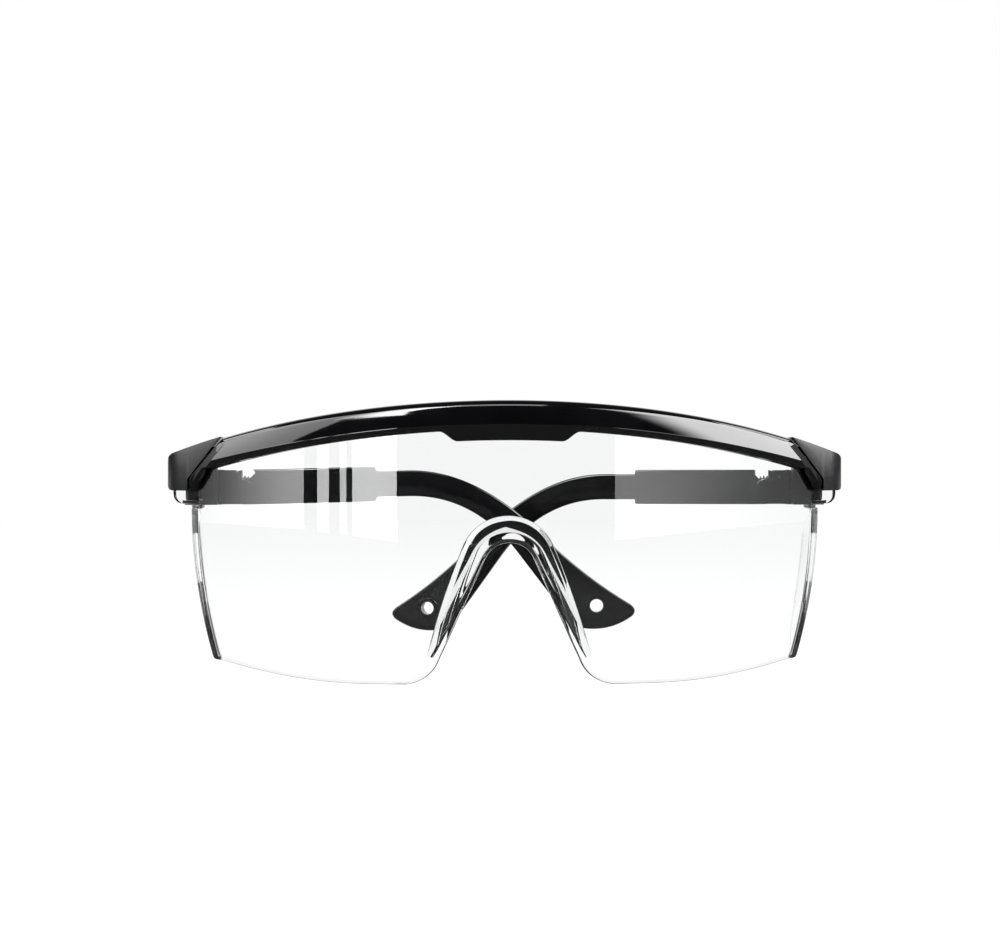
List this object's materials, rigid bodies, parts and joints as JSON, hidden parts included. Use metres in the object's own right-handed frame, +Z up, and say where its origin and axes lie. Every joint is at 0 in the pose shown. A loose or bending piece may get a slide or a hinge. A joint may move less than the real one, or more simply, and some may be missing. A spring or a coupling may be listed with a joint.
{
  "type": "safety glasses",
  "caption": "Wraparound safety glasses with a clear one-piece lens and side shields, a black brow bar, and temples that fold, tilt and lengthen.",
  "frame": {"origin": "middle of the underside: the centre of the box over the glasses with the temples folded, at the height of the lens's lowest edge", "axes": "+X to the wearer's left, +Y to the rear, towards the wearer, and +Z up; the front of the lens faces -Y"},
  "size_m": [0.153, 0.0598, 0.0621],
  "materials": {
    "brow_black": "gloss",
    "cap_black": "satin",
    "temple_black": "gloss",
    "lens_clear": "clear polished polycarbonate",
    "pin_steel": "satin"
  },
  "bodies": {
    "front": {"brow_bar": "brow_black", "lens": "lens_clear", "left_end_cap": "cap_black", "right_end_cap": "cap_black", "left_hinge_pin": "pin_steel", "right_hinge_pin": "pin_steel"},
    "right_link": {"right_hinge_link": "temple_black", "right_ratchet_rivet": "temple_black"},
    "right_sleeve": {"right_temple_sleeve": "temple_black"},
    "right_ear": {"right_ear_piece": "temple_black"},
    "left_link": {"left_hinge_link": "temple_black", "left_ratchet_rivet": "temple_black"},
    "left_sleeve": {"left_temple_sleeve": "temple_black"},
    "left_ear": {"left_ear_piece": "temple_black"}
  },
  "joints": [
    {"name": "right_fold", "type": "hinge", "parent": "front", "child": "right_link", "pos_m": [-0.07, 0.00169, 0.043], "axis": [0, 0, 1], "range_deg": [0, 95]},
    {"name": "right_tilt", "type": "hinge", "parent": "right_link", "child": "right_sleeve", "pos_m": [-0.05938, 0.00373, 0.043], "axis": [-0.0523, -0.9986, 0], "range_deg": [-11.35, 8.65]},
    {"name": "right_slide", "type": "slide", "parent": "right_sleeve", "child": "right_ear", "axis": [0.9984, -0.0523, 0.0236], "range_m": [0, 0.014]},
    {"name": "left_fold", "type": "hinge", "parent": "front", "child": "left_link", "pos_m": [0.07, 0.00169, 0.043], "axis": [0, 0, -1], "range_deg": [0, 80]},
    {"name": "left_tilt", "type": "hinge", "parent": "left_link", "child": "left_sleeve", "pos_m": [0.06027, 0.00641, 0.043], "axis": [0.2079, 0.9781, 0], "range_deg": [-10, 10]},
    {"name": "left_slide", "type": "slide", "parent": "left_sleeve", "child": "left_ear", "axis": [-0.9781, 0.2079, 0], "range_m": [0, 0.014]}
  ],
  "couplings": [
    {"joint": "left_fold", "follows": "right_fold", "ratio": 0.8421}
  ]
}
